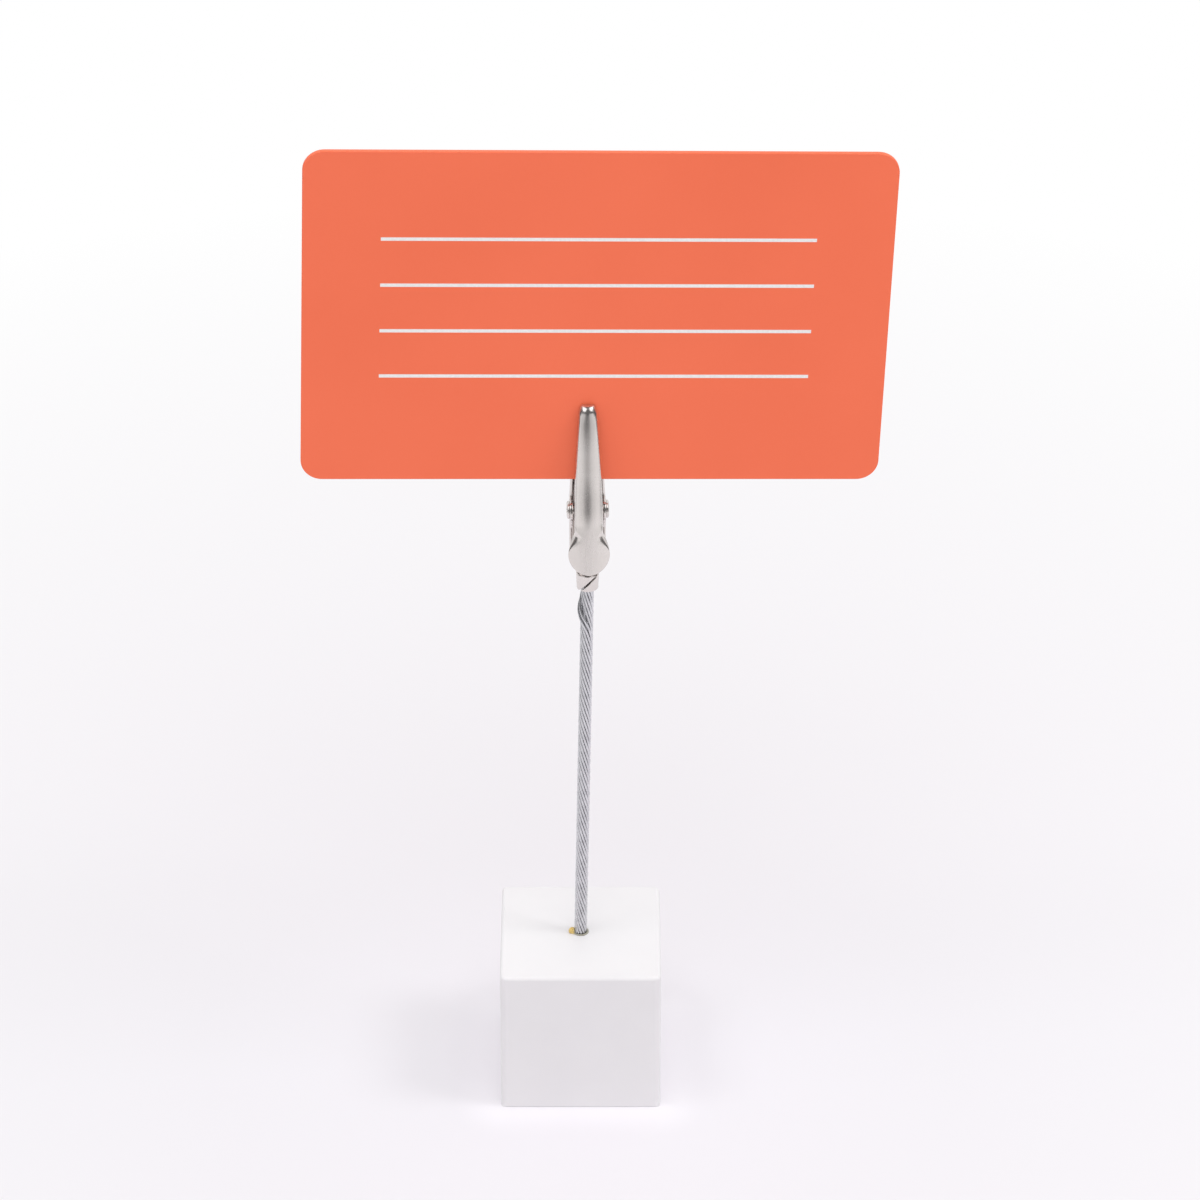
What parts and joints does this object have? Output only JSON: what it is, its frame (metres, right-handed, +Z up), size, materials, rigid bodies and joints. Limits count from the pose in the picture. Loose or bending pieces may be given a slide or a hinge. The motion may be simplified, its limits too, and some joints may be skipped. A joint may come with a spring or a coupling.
{
  "type": "memo clip holder",
  "caption": "Cube block with a springy wire rope stem that carries a sprung alligator clip, holding up a plain card.",
  "frame": {"origin": "centre of the block's underside", "axes": "+Z up along the stem, -Y towards the front where the lever is, +X to the right seen from the front"},
  "size_m": [0.0871, 0.025, 0.1632],
  "materials": {
    "white_paint": "satin white paint on wood",
    "amber_glue": "clear amber glue",
    "nickel_plate": "bright nickel plate",
    "spring_steel": "drawn wire",
    "rope_steel": "galvanized wire",
    "card_plastic": "matt orange"
  },
  "bodies": {
    "base": {"base_block": "white_paint", "glue_bead": "amber_glue"},
    "clip": {"core_wire": "rope_steel", "inner_wire_1": "rope_steel", "inner_wire_2": "rope_steel", "inner_wire_3": "rope_steel", "inner_wire_4": "rope_steel", "inner_wire_5": "rope_steel", "inner_wire_6": "rope_steel", "outer_wire_1": "rope_steel", "outer_wire_2": "rope_steel", "outer_wire_3": "rope_steel", "outer_wire_4": "rope_steel", "outer_wire_5": "rope_steel", "outer_wire_6": "rope_steel", "outer_wire_7": "rope_steel", "outer_wire_8": "rope_steel", "outer_wire_9": "rope_steel", "outer_wire_10": "rope_steel", "outer_wire_11": "rope_steel", "outer_wire_12": "rope_steel", "fixed_jaw": "nickel_plate", "pivot_rivet": "nickel_plate", "torsion_spring": "spring_steel"},
    "lever": {"lever": "nickel_plate"},
    "card": {"memo_card": "card_plastic"}
  },
  "joints": [
    {"name": "stem_flex", "type": "hinge", "parent": "base", "child": "clip", "pos_m": [0, 0, 0.025], "axis": [1, 0, 0], "range_deg": [-15, 15], "stiffness_Nm_per_rad": 0.18, "deforming": ["core_wire", "inner_wire_1", "inner_wire_2", "inner_wire_3", "inner_wire_4", "inner_wire_5", "inner_wire_6", "outer_wire_1", "outer_wire_2", "outer_wire_3", "outer_wire_4", "outer_wire_5", "outer_wire_6", "outer_wire_7", "outer_wire_8", "outer_wire_9", "outer_wire_10", "outer_wire_11", "outer_wire_12"]},
    {"name": "lever_pivot", "type": "hinge", "parent": "clip", "child": "lever", "pos_m": [0.0012, -0.0009, 0.1026], "axis": [0.9981, 0.061, 0], "range_deg": [0, 24], "stiffness_Nm_per_rad": 0.06, "springref_deg": -1.72, "deforming": ["torsion_spring"]},
    {"name": "card_pull", "type": "slide", "parent": "clip", "child": "card", "axis": [0, 0, 1], "range_m": [0, 0.015]}
  ]
}
